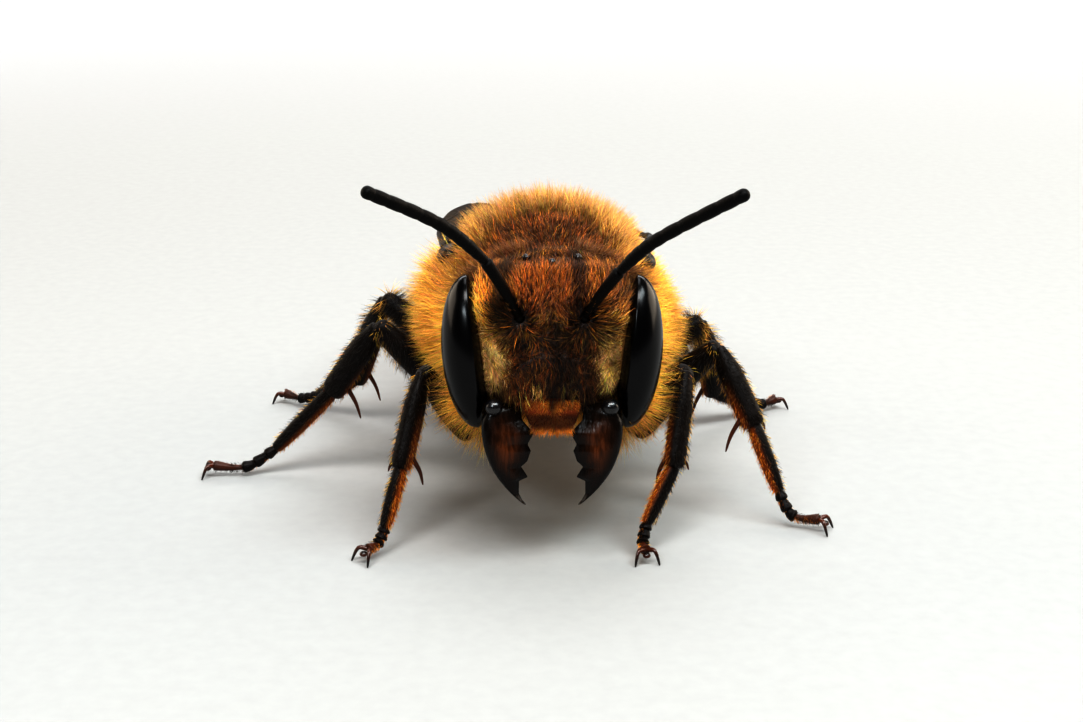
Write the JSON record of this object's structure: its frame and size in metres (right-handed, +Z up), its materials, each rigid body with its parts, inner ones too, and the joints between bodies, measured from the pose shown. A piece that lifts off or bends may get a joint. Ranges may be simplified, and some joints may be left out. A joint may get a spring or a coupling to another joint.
{
  "type": "resin bee",
  "caption": "life-size still model of a large solitary bee standing on six legs with open toothed jaws, raised feelers, a thick golden coat and wings folded over the back",
  "frame": {"origin": "on the floor, at the middle of the bounding box seen from above", "axes": "+Z up, the bee faces -Y, its own left side is at +X"},
  "size_m": [0.0222, 0.026, 0.013],
  "materials": {
    "golden_fur": "dense golden-orange hair",
    "brown_fur": "brown and golden hair over black shell",
    "black_shell": "pitted black shell, satin",
    "dark_leg": "black-brown shell with golden hair",
    "rusty_foot": "reddish brown shell",
    "compound_eye": "glossy black, finely faceted",
    "jaw_shell": "glossy black with a red-brown blade",
    "lip_shell": "orange-red, hair fringe",
    "wing_film": "smoky amber membrane with dark veins"
  },
  "bodies": {
    "root": {"head": "brown_fur", "thorax": "golden_fur", "labrum": "lip_shell", "eye_left": "compound_eye", "scape_left": "black_shell", "flagellum_left": "black_shell", "mandible_left": "jaw_shell", "tegula_left": "black_shell", "forewing_left": "wing_film", "hindwing_left": "wing_film", "eye_right": "compound_eye", "scape_right": "black_shell", "flagellum_right": "black_shell", "mandible_right": "jaw_shell", "tegula_right": "black_shell", "forewing_right": "wing_film", "hindwing_right": "wing_film", "abdomen_1": "golden_fur", "abdomen_2": "black_shell", "abdomen_3": "black_shell", "abdomen_4": "black_shell", "abdomen_5": "black_shell", "abdomen_6": "black_shell", "coxa_front_left": "dark_leg", "femur_front_left": "dark_leg", "tibia_front_left": "dark_leg", "basitarsus_front_left": "dark_leg", "tarsus_front_left": "rusty_foot", "coxa_front_right": "dark_leg", "femur_front_right": "dark_leg", "tibia_front_right": "dark_leg", "basitarsus_front_right": "dark_leg", "tarsus_front_right": "rusty_foot", "coxa_middle_left": "dark_leg", "femur_middle_left": "dark_leg", "tibia_middle_left": "dark_leg", "basitarsus_middle_left": "dark_leg", "tarsus_middle_left": "rusty_foot", "coxa_middle_right": "dark_leg", "femur_middle_right": "dark_leg", "tibia_middle_right": "dark_leg", "basitarsus_middle_right": "dark_leg", "tarsus_middle_right": "rusty_foot", "coxa_hind_left": "dark_leg", "femur_hind_left": "dark_leg", "tibia_hind_left": "dark_leg", "basitarsus_hind_left": "dark_leg", "tarsus_hind_left": "rusty_foot", "coxa_hind_right": "dark_leg", "femur_hind_right": "dark_leg", "tibia_hind_right": "dark_leg", "basitarsus_hind_right": "dark_leg", "tarsus_hind_right": "rusty_foot"}
  },
  "joints": []
}
